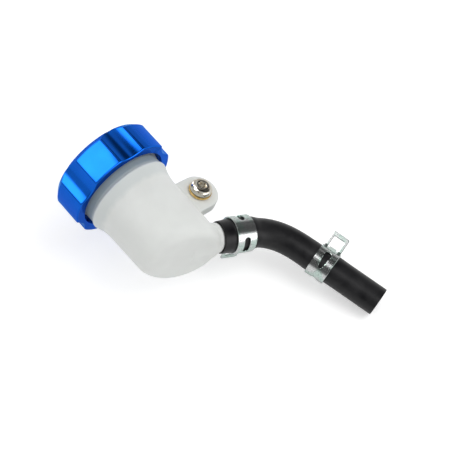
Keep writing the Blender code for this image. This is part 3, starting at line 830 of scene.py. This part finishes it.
def cap_sector():
    """A mesh of the cap from the middle of one lobe to that of the next."""
    points = []
    for i in range(CAP_SECTOR_STEPS + 1):
        share = i / CAP_SECTOR_STEPS
        a = LOBE_TURN + math.tau / LOBE_COUNT * share
        points += [(r * math.cos(a), r * math.sin(a), z) for r, z in cap_section(share)]
    count = len(points) // (CAP_SECTOR_STEPS + 1)
    starts = [k for k in range(CAP_SECTOR_STEPS * count) if (k + 1) % count]
    mesh = bpy.data.meshes.new("cap_sector")
    mesh.from_pydata(points, [], [(k, k + count, k + count + 1, k + 1) for k in starts])
    return mesh


def make_cap():
    values = {"Count": LOBE_COUNT, "Finish": FINISHES["blue_anodised"]}
    cap = grown("fluted_cap", ROUND_REPEAT, values, cap_sector())
    turned_outwards(cap.data)
    put_on(cap, "cap", "blue_anodised", "cap")
    make_thread(
        "cap_thread", "cap", "blue_anodised", raised(CAP_THREAD_START),
        radius=CAP_BORE_RADIUS + THREAD_SINK, pitch=THREAD_PITCH, turns=2.0, crest=0.0006, sides=10, steps=96,
    )


def make_bellows():
    half = DIAPHRAGM_THICKNESS / 2
    seat = DIAPHRAGM_SEAT + half
    wall = NECK_BORE_RADIUS - 2 * GAP - half
    low = seat - FOLD_DEPTH
    high = seat - FOLD_WIDTH
    turn = FOLD_WIDTH / 2
    line = [(NECK_RADIUS - GAP, seat), (wall, seat)]
    for i in range(FOLD_COUNT):
        outer = wall - 2 * FOLD_WIDTH * i
        line += arc((outer - turn, low + turn), turn, 0, -math.pi, FOLD_STEPS)
        if i < FOLD_COUNT - 1:
            line += arc((outer - 3 * turn, high), turn, 0, math.pi, FOLD_STEPS)
    inner = wall - (2 * FOLD_COUNT - 1) * FOLD_WIDTH
    line += [(inner, high), (inner - half, high + half), (0, high + half)]
    bellows = turned("bellows", softened(line, DIAPHRAGM_ROUNDING, closed=False, steps=2), closed=False)
    skin = bellows.modifiers.new("thickness", "SOLIDIFY")
    skin.thickness = DIAPHRAGM_THICKNESS
    skin.offset = 0.0
    skin.use_even_offset = True
    put_on(baked(bellows), "plate", "bellows_rubber", "diaphragm")


def make_plate():
    low = DIAPHRAGM_SEAT + DIAPHRAGM_THICKNESS + GAP
    high = CAP_CEILING - GAP
    outer = CAP_BORE_RADIUS - PLATE_CLEARANCE
    ring = NECK_BORE_RADIUS - 4 * GAP - DIAPHRAGM_THICKNESS
    profile = [
        (PLATE_HOLE_RADIUS, high), (outer, high), (outer, low), (ring, low), (ring, low - PLATE_RING_HEIGHT),
        (ring - PLATE_RING_WALL, low - PLATE_RING_HEIGHT), (ring - PLATE_RING_WALL, low),
        (PLATE_HOLE_RADIUS, low),
    ]
    plate = turned("pressure_plate", softened(profile, PLATE_ROUNDING, steps=3))
    put_on(plate, "plate", "white_plastic", "diaphragm_plate")


# What goes through the ear

SCREW_PLACE = Matrix.Translation((EAR_REACH, -UNDER_HEAD, -EAR_DROP)) @ Matrix.Rotation(-math.pi / 2, 4, "X")


def hexagon(across_flats, height, limit=math.inf):
    """A hexagon's points, with its corners cut back to a circle of radius limit."""
    points = []
    for i in range(FINE_SEGMENTS):
        a = math.tau * i / FINE_SEGMENTS
        from_flat = (a + math.pi / 6) % (math.pi / 3) - math.pi / 6
        radius = across_flats / 2 / math.cos(from_flat - math.copysign(math.pi / 6, from_flat))
        radius = min(radius, limit)
        points.append((radius * math.cos(a), radius * math.sin(a), height))
    return points


def make_screw():
    dome = []
    for i in range(DOME_STEPS + 1):
        a = math.pi / 2 * i / DOME_STEPS
        radius = HEAD_FLAT_RADIUS + (HEAD_RADIUS - HEAD_FLAT_RADIUS) * math.sin(a)
        dome.append((radius, DOME_SHARE * HEAD_HEIGHT * (1 - math.cos(a)) - HEAD_HEIGHT))
    throat_out, throat_along = SCREW_THROAT
    outside = dome + [
        (HEAD_RADIUS, -HEAD_EDGE), (HEAD_RADIUS - HEAD_EDGE, 0.0), (SCREW_RADIUS + throat_out, 0.0),
        (SCREW_RADIUS, throat_along), (SCREW_RADIUS, SHANK_LENGTH),
        (SCREW_CORE_RADIUS, SHANK_LENGTH + SHANK_CHAMFER),
        (SCREW_CORE_RADIUS, SCREW_LENGTH - SCREW_END_CHAMFER),
        (SCREW_CORE_RADIUS - SCREW_END_CHAMFER, SCREW_LENGTH), (0.0, SCREW_LENGTH),
    ]
    rings = [around(0.0, SOCKET_DEPTH + SOCKET_POINT - HEAD_HEIGHT)]
    rings += [hexagon(SOCKET_ACROSS_FLATS + wider, depth - HEAD_HEIGHT) for wider, depth in SOCKET_STEPS]
    rings += [around(r, z) for r, z in outside]
    screw = skinned("button_head_screw", rings, False)
    put_on(screw, "reservoir", "bright_steel", "mounting_screw", SCREW_PLACE)
    make_thread(
        "screw_thread", "reservoir", "bright_steel", SCREW_PLACE @ raised(SCREW_THREAD_START),
        radius=SCREW_CORE_RADIUS, pitch=SCREW_PITCH, turns=SCREW_THREAD_LENGTH / SCREW_PITCH, crest=0.00044,
        sides=4, steps=32,
    )


def make_bush_and_washer():
    flange_end = GAP + BUSH_FLANGE_THICKNESS
    end = flange_end + GAP + EAR_THICKNESS
    profile = [
        (BORE_ROUND_SCREW, GAP), (BUSH_FLANGE_RADIUS, GAP), (BUSH_FLANGE_RADIUS, flange_end),
        (BUSH_RADIUS, flange_end), (BUSH_RADIUS, end), (BORE_ROUND_SCREW, end),
    ]
    bush = turned("flanged_bush", softened(profile, RING_ROUNDING, steps=3))
    put_on(bush, "reservoir", "brass", "ear_bush", SCREW_PLACE)
    start = end + GAP
    profile = [
        (BORE_ROUND_SCREW, start), (WASHER_RADIUS, start), (WASHER_RADIUS, start + WASHER_THICKNESS),
        (BORE_ROUND_SCREW, start + WASHER_THICKNESS),
    ]
    washer = turned("flat_washer", softened(profile, RING_ROUNDING, steps=3))
    put_on(washer, "reservoir", "zinc_plate", "washer", SCREW_PLACE)


def make_nut():
    start = 4 * GAP + BUSH_FLANGE_THICKNESS + EAR_THICKNESS + WASHER_THICKNESS
    end = start + NUT_THICKNESS
    face = NUT_ACROSS_FLATS / 2 * NUT_FACE_SHARE
    corner = NUT_ACROSS_FLATS / math.sqrt(3)
    limits = [face + (corner - face) * i / NUT_CONE_STEPS for i in range(NUT_CONE_STEPS + 1)]
    fronts = [(limit, (limit - face) * math.tan(NUT_CONE)) for limit in limits]
    rings = [around(BORE_ROUND_SCREW, start + NUT_MOUTH), around(BORE_ROUND_SCREW + NUT_MOUTH, start)]
    rings += [hexagon(NUT_ACROSS_FLATS, start + fall, limit) for limit, fall in fronts]
    rings += [hexagon(NUT_ACROSS_FLATS, end - fall, limit) for limit, fall in reversed(fronts)]
    rings += [around(BORE_ROUND_SCREW + NUT_MOUTH, end), around(BORE_ROUND_SCREW, end - NUT_MOUTH)]
    nut = skinned("hex_nut", rings, True)
    put_on(nut, "reservoir", "zinc_plate", "nut", SCREW_PLACE)
    make_thread(
        "nut_thread", "reservoir", "zinc_plate", SCREW_PLACE @ raised(start + NUT_MOUTH),
        radius=BORE_ROUND_SCREW, pitch=SCREW_PITCH, turns=(NUT_THICKNESS - 2 * NUT_MOUTH) / SCREW_PITCH,
        crest=0.00025, sides=4, steps=32,
    )


# Hose


def between(p0, p1, p2, p3, t):
    """A point of the smooth curve through p1 and p2, which runs there as from p0 to p2 and from p1 to p3."""
    start = (p2 - p0) / 2
    end = (p3 - p1) / 2
    rise = p2 - p1
    return p1 + start * t + (3 * rise - 2 * start - end) * t**2 + (start + end - 2 * rise) * t**3


def hose_line():
    """The hose's middle line: its places, their directions and their lengths from the mouth."""
    route = [MOUTH + Vector((x, 0, z)) for x, z in HOSE_ROUTE]
    ends = [2 * route[0] - route[1]] + route + [2 * route[-1] - route[-2]]
    places = []
    for i in range(len(route) - 1):
        places += [between(*ends[i : i + 4], step / HOSE_STEPS) for step in range(HOSE_STEPS)]
    places.append(route[-1])
    directions = []
    for i in range(len(places)):
        ahead = places[min(i + 1, len(places) - 1)]
        directions.append((ahead - places[max(i - 1, 0)]).normalized())
    directions[0] = OUTLET
    lengths = [0.0]
    for first, second in zip(places, places[1:]):
        lengths.append(lengths[-1] + (second - first).length)
    return places, directions, lengths


HOSE_PLACES, HOSE_DIRECTIONS, HOSE_LENGTHS = hose_line()


def at_length(wanted):
    """The middle line's place and direction at a length from the mouth."""
    after = next(i for i, length in enumerate(HOSE_LENGTHS) if length >= wanted)
    before = after - 1
    share = (wanted - HOSE_LENGTHS[before]) / (HOSE_LENGTHS[after] - HOSE_LENGTHS[before])
    place = HOSE_PLACES[before].lerp(HOSE_PLACES[after], share)
    return place, HOSE_DIRECTIONS[before].lerp(HOSE_DIRECTIONS[after], share).normalized()


def hose_radii(length):
    """The outside and the bore: stretched over the nipple, then back to size."""
    share = (length - NIPPLE_LENGTH - GAP) / HOSE_EASING
    bore = eased(NIPPLE_RADIUS + GAP, HOSE_RADIUS - HOSE_WALL, share)
    outside = eased(NIPPLE_RADIUS + GAP + HOSE_STRETCHED_WALL, HOSE_RADIUS, share)
    return outside, bore


def swell(length):
    """How far the rubber bulges beside the clamps, the tighter the more."""
    total = 0.0
    for at, tightness in ((INNER_CLAMP_AT, INNER_TIGHTNESS), (OUTER_CLAMP_AT, OUTER_TIGHTNESS)):
        past_band = abs(length - at) - BAND_WIDTH / 2
        total += tightness * HOSE_SWELL * math.exp(-((past_band - SWELL_FROM_BAND) / SWELL_REACH) ** 2)
    return total


def hose_rings():
    """Rings from the mouth along the outside and back through the bore, and their lengths from the mouth."""
    rings = []
    lengths = []
    last = len(HOSE_PLACES) - 1
    mouth_outside, mouth_bore = hose_radii(0.0)
    end_outside, end_bore = hose_radii(HOSE_LENGTHS[last])

    def ring(i, radius, shift=0.0):
        side = Vector((0, 1, 0))
        across = side.cross(HOSE_DIRECTIONS[i])
        centre = HOSE_PLACES[i] + HOSE_DIRECTIONS[i] * shift
        angles = [math.tau * k / HOSE_SIDES for k in range(HOSE_SIDES)]
        rings.append([centre + radius * (across * math.cos(a) + side * math.sin(a)) for a in angles])
        lengths.append(HOSE_LENGTHS[i] + shift)

    ring(0, mouth_outside - HOSE_EDGE)
    ring(0, mouth_outside - HOSE_EDGE / 4, HOSE_EDGE / 4)
    for i in range(1, last):
        ring(i, hose_radii(HOSE_LENGTHS[i])[0] + swell(HOSE_LENGTHS[i]))
    ring(last, end_outside, -HOSE_EDGE)
    ring(last, end_outside - HOSE_EDGE / 4, -HOSE_EDGE / 4)
    ring(last, end_outside - HOSE_EDGE)
    ring(last, end_bore + HOSE_EDGE)
    ring(last, end_bore, -HOSE_EDGE)
    for i in range(last - 1, 0, -1):
        ring(i, hose_radii(HOSE_LENGTHS[i])[1])
    ring(0, mouth_bore, HOSE_EDGE)
    ring(0, mouth_bore + HOSE_EDGE)
    return rings, lengths


def make_hose():
    rings, lengths = hose_rings()
    hose = skinned("outlet_hose", rings, True)
    layer = hose.data.uv_layers.new(name="round_and_along")
    for polygon in hose.data.polygons:
        corners = [(k, *divmod(hose.data.loops[k].vertex_index, HOSE_SIDES)) for k in polygon.loop_indices]
        sides = [side for _, _, side in corners]
        wraps = max(sides) - min(sides) > HOSE_SIDES / 2
        for k, ring, side in corners:
            turn = side + HOSE_SIDES if wraps and side < HOSE_SIDES / 2 else side
            layer.data[k].uv = (turn / HOSE_SIDES, lengths[ring])
    return put_on(hose, "reservoir", "black_rubber", "hose")


# Band clamps: a strip stamped flat, then bent to more than a turn, with its narrow end through the loop


def rounded_box(x, y, low, high, half_width, radius):
    from_middle = np.abs(x - (low + high) / 2) - (high - low) / 2
    return meet(from_middle, np.abs(y) - half_width, radius)


def tapered_slot(x, y, middle, low_width, high_width):
    """A round-ended slot whose width changes along x."""
    reach = SLOT_LENGTH / 2 - low_width / 2
    share = np.clip((x - middle) / (2 * reach) + 0.5, 0, 1)
    width = low_width + (high_width - low_width) * share
    return np.hypot(np.maximum(np.abs(x - middle) - reach, 0), y) - width / 2


def clamp_strip(radius, slots):
    """The flat strip's form and its lengths: x = 0 where the loop bends up, with the loop below it and the
    narrow end above."""
    quarter = LOOP_BEND * math.pi / 2
    tip = LOOP_HEIGHT - LOOP_BEND + quarter
    shoulder = math.tau * radius - LOOP_BEND - BAND_THICKNESS / 2 - LOOP_GAP
    tongue_root = (math.tau + TONGUE_TURN) * radius - 2 * LOOP_BEND
    tongue_tip = tongue_root + TONGUE_HEIGHT - LOOP_BEND + quarter
    middle, reach = (shoulder - tip) / 2, (shoulder + tip) / 2

    def form(x, y, up):
        widening = np.clip(x / LOOP_WIDENING, 0, 1)
        half_width = LOOP_WIDTH / 2 + (BAND_WIDTH - LOOP_WIDTH) / 2 * widening
        wide = meet(np.abs(y) - half_width, np.abs(x - middle) - reach, STRIP_ROUNDING)
        narrow = rounded_box(x, y, shoulder - TONGUE_INSET, tongue_tip, TONGUE_WIDTH / 2, TONGUE_ROUNDING)
        outline = join(wide, narrow, TONGUE_FILLET)
        half_window = LOOP_WIDTH / 2 - LOOP_LEG_WIDTH
        window = rounded_box(x, y, LOOP_BAR_WIDTH - tip, -WINDOW_SILL, half_window, WINDOW_ROUNDING)
        outline = np.maximum(outline, -window)
        for turn, low_width, high_width in slots:
            outline = np.maximum(outline, -tapered_slot(x, y, turn * radius, low_width, high_width))
        return meet(outline, np.abs(up) - BAND_THICKNESS / 2, STAMPED_EDGE)

    return form, tip, shoulder, tongue_root, tongue_tip


def make_clamp(name, node, at, loop_turn, way, slots):
    """A clamp that far along the hose. way says which way round the strip runs from its loop."""
    radius = hose_radii(at - BAND_WIDTH / 2)[0] + GAP + BAND_THICKNESS / 2
    form, tip, shoulder, tongue_root, tongue_tip = clamp_strip(radius, slots)
    low = np.array((-tip, -BAND_WIDTH / 2, -BAND_THICKNESS / 2)) - STRIP_LOW_MARGIN
    high = np.array((tongue_tip, BAND_WIDTH / 2, BAND_THICKNESS / 2)) + STRIP_HIGH_MARGIN
    clamp = formed(name, form, low, high, STRIP_NET)
    place, direction = at_length(at)
    own_x = direction.cross(Vector((0, 1, 0))).normalized()
    own_y = Vector((0, -1, 0))
    for vert in clamp.data.vertices:
        x, y, up = vert.co
        bent = max(-x, x - tongue_root, 0.0)
        turn = min(bent / LOOP_BEND, math.pi / 2)
        across = math.copysign((LOOP_BEND - up) * math.sin(turn), x)
        out = LOOP_BEND - (LOOP_BEND - up) * math.cos(turn) + max(bent - LOOP_BEND * math.pi / 2, 0.0)
        climb = eased(0.0, BAND_THICKNESS + CLIMB_CLEARANCE, (x - shoulder + CLIMB_START) / CLIMB_LENGTH)
        angle = loop_turn + way * (min(max(x, 0.0), tongue_root) + LOOP_BEND) / radius
        outwards = own_x * math.cos(angle) + own_y * math.sin(angle)
        forwards = own_y * (way * math.cos(angle)) - own_x * (way * math.sin(angle))
        vert.co = place + outwards * (radius + out + climb) + forwards * across + direction * y
    turned_outwards(clamp.data)
    return put_on(clamp, "reservoir", "zinc_plate", node)


# Studio


def view_direction(across, above, towards):
    """A direction given as right, up and towards the viewer."""
    return (VIEW_RIGHT * across + VIEW_UP * above + VIEW_BACK * towards).normalized()


def aim(obj, place, back, right):
    turn = Matrix((right, back.cross(right), back)).transposed().to_4x4()
    obj.matrix_world = Matrix.Translation(place) @ turn


def make_camera():
    data = bpy.data.cameras.new("product_view")
    data.lens = VIEW_LENS
    data.clip_start = 0.01
    data.clip_end = 20.0
    camera = object_of("product_view", data)
    aim(camera, VIEW_CENTRE + VIEW_BACK * VIEW_DISTANCE, VIEW_BACK, VIEW_RIGHT)
    bpy.context.scene.camera = camera


def make_lamp(name, towards, distance, size, watts):
    """A round lamp that glossy surfaces don't mirror."""
    data = bpy.data.lights.new(name, "AREA")
    data.shape = "DISK"
    data.size = size
    data.energy = watts
    lamp = object_of(name, data)
    lamp.visible_glossy = False
    back = towards.normalized()
    aim(lamp, VIEW_CENTRE + back * distance, back, back.orthogonal().normalized())


def make_table():
    """A white sheet, clear from below, whose white is lifted a little for the camera so that shadows stay
    light."""
    low = min(vert.co.dot(TABLE_UP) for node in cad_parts.values() for vert in node.data.vertices)
    side = TABLE_UP.cross(VIEW_RIGHT).normalized() * TABLE_REACH
    across = side.cross(TABLE_UP)
    centre = VIEW_CENTRE + TABLE_UP * (low - VIEW_CENTRE.dot(TABLE_UP) - TABLE_BELOW)
    corners = [centre + across * a + side * b for a, b in ((-1, -1), (1, -1), (1, 1), (-1, 1))]
    mesh = bpy.data.meshes.new("table")
    mesh.from_pydata(corners, [], [(0, 1, 2, 3)])
    table = object_of("table", mesh)
    finish = Finish("white_table")
    finish.put("Base Color", (0.90, 0.90, 0.90, 1.0))
    finish.put("Roughness", 0.9)
    finish.put("Specular IOR Level", 0.0)
    finish.put("Emission Color", (1.0, 1.0, 1.0, 1.0))
    seen = finish.node("LightPath").outputs["Is Camera Ray"]
    finish.put("Emission Strength", finish.math("MULTIPLY", seen, TABLE_LIFT))
    finish.cleared(finish.node("NewGeometry").outputs["Backfacing"])
    mesh.materials.append(finish.made)


def make_world():
    """White to the eye and plain to matt surfaces. Glossy ones see soft boxes, dark cards, a dim room and the
    white paper's upward curve."""
    world = bpy.data.worlds.new("white_studio")
    bpy.context.scene.world = world
    world.use_nodes = True
    make = Nodes(world.node_tree)
    rays = make.node("LightPath").outputs
    direction = make.node("TexCoord").outputs["Generated"]
    level = ROOM_LEVEL
    for place, edge, full, brightness in SOFT_BOXES:
        shine = make.span(make.dot(direction, view_direction(*place)), edge, full, 0.0, brightness)
        level = make.math("ADD", shine, level)
    for place, edge, full in DARK_CARDS:
        left = make.span(make.dot(direction, view_direction(*place)), edge, full, 1.0, 1.0 - CARD_SHARE)
        level = make.math("MULTIPLY", left, level)
    curve = make.span(make.dot(direction, TABLE_UP), *PAPER_CURVE, PAPER_LEVEL, 0.0)
    mirrored = make.math("MAXIMUM", level, curve)
    plain = make.span(rays["Is Glossy Ray"], 0.0, 1.0, WORLD_LEVEL, mirrored)
    straight = make.math("MAXIMUM", rays["Is Camera Ray"], rays["Is Transmission Ray"])
    background = world.node_tree.nodes["Background"]
    make.feed(background.inputs["Color"], (1.0, 1.0, 1.0, 1.0))
    make.feed(background.inputs["Strength"], make.span(straight, 0.0, 1.0, plain, 1.0))


make_camera()
make_body()
make_cap()
make_bellows()
make_plate()
make_screw()
make_bush_and_washer()
make_nut()
hose = make_hose()
inner = make_clamp("inner_band", "inner_clamp", INNER_CLAMP_AT, INNER_LOOP_TURN, 1, INNER_SLOTS)
outer = make_clamp("outer_band", "outer_clamp", OUTER_CLAMP_AT, OUTER_LOOP_TURN, -1, OUTER_SLOTS)
make_table()
make_world()
make_lamp("overhead_softbox", TABLE_UP + VIEW_RIGHT * 0.55, distance=0.8, size=0.5, watts=2.0)
make_lamp("front_fill", view_direction(-0.6, -0.7, 1.0), distance=0.9, size=0.8, watts=0.7)
bpy.context.scene.view_settings.view_transform = "Standard"
